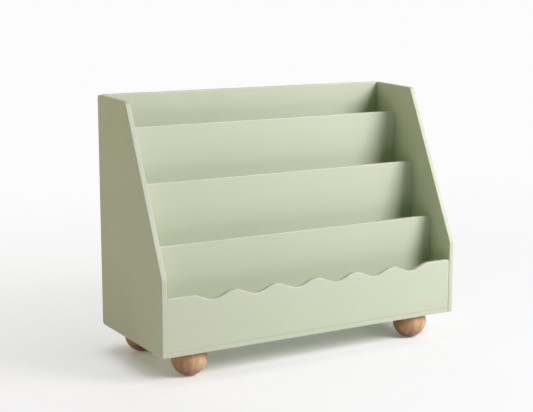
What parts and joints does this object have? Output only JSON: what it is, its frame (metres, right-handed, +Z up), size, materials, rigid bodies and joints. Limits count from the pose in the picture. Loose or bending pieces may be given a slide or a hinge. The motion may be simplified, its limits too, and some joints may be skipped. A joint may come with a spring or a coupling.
{
  "type": "bookshelf",
  "caption": "Front-facing tiered bookshelf with sloped side panels, stepped book pockets, a scalloped front board and ball feet.",
  "frame": {"origin": "on the floor, at the centre of the bounding box's bottom", "axes": "+X to the right along the width, +Y to the back, +Z up; the scalloped front board faces -Y"},
  "size_m": [0.8, 0.335, 0.617],
  "materials": {
    "painted_board": "satin sage green paint on smooth board",
    "turned_oak": "turned, sanded and oiled oak",
    "beech_dowel": "bare beech",
    "zinc_fitting": "zinc-plated, dull"
  },
  "bodies": {
    "root": {"left_side_panel": "painted_board", "right_side_panel": "painted_board", "bottom_board": "painted_board", "back_panel": "painted_board", "front_board": "painted_board", "lower_divider": "painted_board", "middle_divider": "painted_board", "upper_divider": "painted_board", "lower_shelf": "painted_board", "middle_shelf": "painted_board", "upper_shelf": "painted_board", "front_left_foot": "turned_oak", "front_right_foot": "turned_oak", "rear_left_foot": "turned_oak", "rear_right_foot": "turned_oak", "foot_inserts": "zinc_fitting", "hanger_bolts": "zinc_fitting", "left_cam_bolts": "zinc_fitting", "right_cam_bolts": "zinc_fitting", "left_cams": "zinc_fitting", "right_cams": "zinc_fitting", "left_end_dowels": "beech_dowel", "right_end_dowels": "beech_dowel", "cross_dowels": "beech_dowel"}
  },
  "joints": []
}
